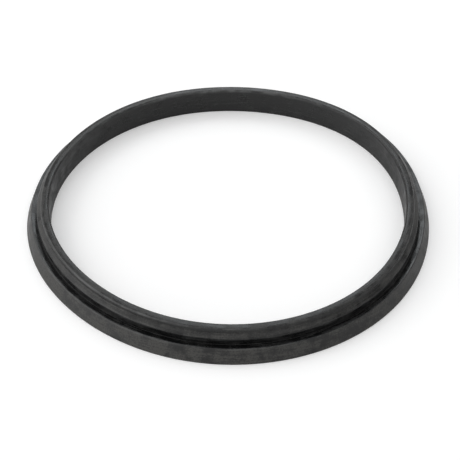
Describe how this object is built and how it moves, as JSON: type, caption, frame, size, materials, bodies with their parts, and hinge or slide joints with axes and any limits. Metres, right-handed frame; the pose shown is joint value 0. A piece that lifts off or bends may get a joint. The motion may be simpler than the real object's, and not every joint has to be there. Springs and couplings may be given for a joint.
{
  "type": "shower head washer",
  "caption": "Large moulded rubber sealing ring with a tapered base flange, a stepped rim and a plain round bore, for the rim of a shower head.",
  "frame": {"origin": "middle of the flat base face, on the ring's axis", "axes": "+Z along the ring's axis, from the wide base flange towards the narrow top lip; X and Y are alike"},
  "size_m": [0.09, 0.09, 0.0063],
  "materials": {
    "washer": "satin moulded rubber"
  },
  "bodies": {
    "root": {"washer": "washer"}
  },
  "joints": []
}
